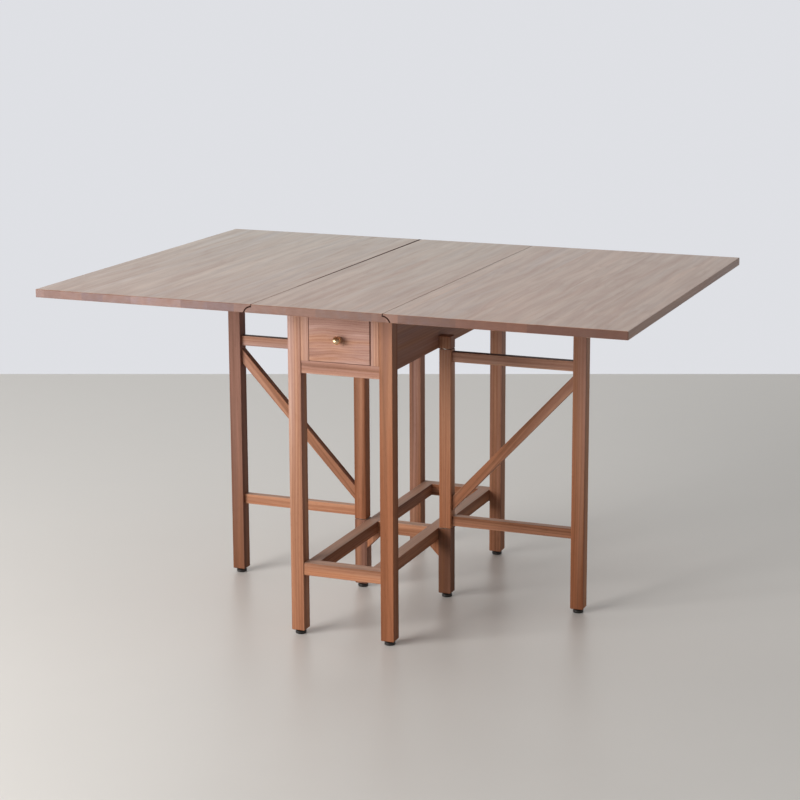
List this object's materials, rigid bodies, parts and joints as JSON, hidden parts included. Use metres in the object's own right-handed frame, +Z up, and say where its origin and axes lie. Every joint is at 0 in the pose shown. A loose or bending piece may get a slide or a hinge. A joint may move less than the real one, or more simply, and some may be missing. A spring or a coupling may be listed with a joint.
{
  "type": "drop leaf table",
  "caption": "Walnut drop leaf table with a narrow framed base, a drawer, rule-jointed leaves and swinging gate legs that open to hold the leaves level.",
  "frame": {"origin": "on the floor under the middle of the top", "axes": "+Z up, +X along the right leaf, the drawer faces -Y"},
  "size_m": [1.32, 0.96, 0.75],
  "materials": {
    "walnut_top": "satin oiled walnut, straight grain along the joint",
    "walnut_frame": "satin oiled walnut, grain along each bar",
    "walnut_front": "satin oiled walnut, grain level",
    "drawer_box": "pale lacquered hardwood",
    "brass": "aged brass",
    "hinge_steel": "plain plated steel",
    "screw_steel": "bright zinc",
    "black_plastic": "moulded black"
  },
  "bodies": {
    "frame": {"centre_top": "walnut_top", "back_apron": "walnut_frame", "drawer_rail": "walnut_frame", "top_rail": "walnut_frame", "stretcher_front": "walnut_frame", "stretcher_back": "walnut_frame", "stretcher_middle": "walnut_frame", "corner_blocks": "walnut_frame", "drawer_runners": "drawer_box", "drawer_kickers": "drawer_box", "leg_glides": "black_plastic", "frame_screws": "screw_steel", "hinge_plates": "hinge_steel", "hinge_pins": "hinge_steel", "hinge_screws": "screw_steel", "leg_front_left": "walnut_frame", "leg_front_right": "walnut_frame", "leg_back_left": "walnut_frame", "leg_back_right": "walnut_frame", "side_apron_left": "walnut_frame", "side_apron_right": "walnut_frame", "stile_left": "walnut_frame", "stile_right": "walnut_frame", "stretcher_left": "walnut_frame", "stretcher_right": "walnut_frame", "stub_leg_left": "walnut_frame", "stub_leg_right": "walnut_frame", "pivot_block_left": "walnut_frame", "pivot_block_right": "walnut_frame"},
    "left_leaf": {"leaf_left": "walnut_top", "leaf_hinge_plates_left": "hinge_steel", "leaf_hinge_screws_left": "screw_steel", "gate_stop_left": "walnut_frame"},
    "right_leaf": {"leaf_right": "walnut_top", "leaf_hinge_plates_right": "hinge_steel", "leaf_hinge_screws_right": "screw_steel", "gate_stop_right": "walnut_frame"},
    "left_gate": {"gate_post_left": "walnut_frame", "gate_leg_left": "walnut_frame", "gate_top_rail_left": "walnut_frame", "gate_lower_rail_left": "walnut_frame", "gate_brace_left": "walnut_frame", "gate_pins_left": "screw_steel", "gate_washers_left": "screw_steel", "gate_glide_left": "black_plastic"},
    "right_gate": {"gate_post_right": "walnut_frame", "gate_leg_right": "walnut_frame", "gate_top_rail_right": "walnut_frame", "gate_lower_rail_right": "walnut_frame", "gate_brace_right": "walnut_frame", "gate_pins_right": "screw_steel", "gate_washers_right": "screw_steel", "gate_glide_right": "black_plastic"},
    "drawer": {"drawer_front": "walnut_front", "drawer_side_left": "drawer_box", "drawer_side_right": "drawer_box", "drawer_back": "drawer_box", "drawer_bottom": "drawer_box", "knob": "brass", "knob_screw": "screw_steel"}
  },
  "joints": [
    {"name": "left_leaf_hinge", "type": "hinge", "parent": "frame", "child": "left_leaf", "pos_m": [-0.146, 0, 0.7275], "axis": [0, 1, 0], "range_deg": [0, 2]},
    {"name": "right_leaf_hinge", "type": "hinge", "parent": "frame", "child": "right_leaf", "pos_m": [0.146, 0, 0.7275], "axis": [0, -1, 0], "range_deg": [0, 2]},
    {"name": "left_gate_swing", "type": "hinge", "parent": "frame", "child": "left_gate", "pos_m": [-0.105, 0, 0.375], "axis": [0, 0, -1], "range_deg": [0, 90]},
    {"name": "right_gate_swing", "type": "hinge", "parent": "frame", "child": "right_gate", "pos_m": [0.105, 0, 0.375], "axis": [0, 0, 1], "range_deg": [0, 90]},
    {"name": "drawer_slide", "type": "slide", "parent": "frame", "child": "drawer", "axis": [0, -1, 0], "range_m": [0, 0.4]}
  ]
}
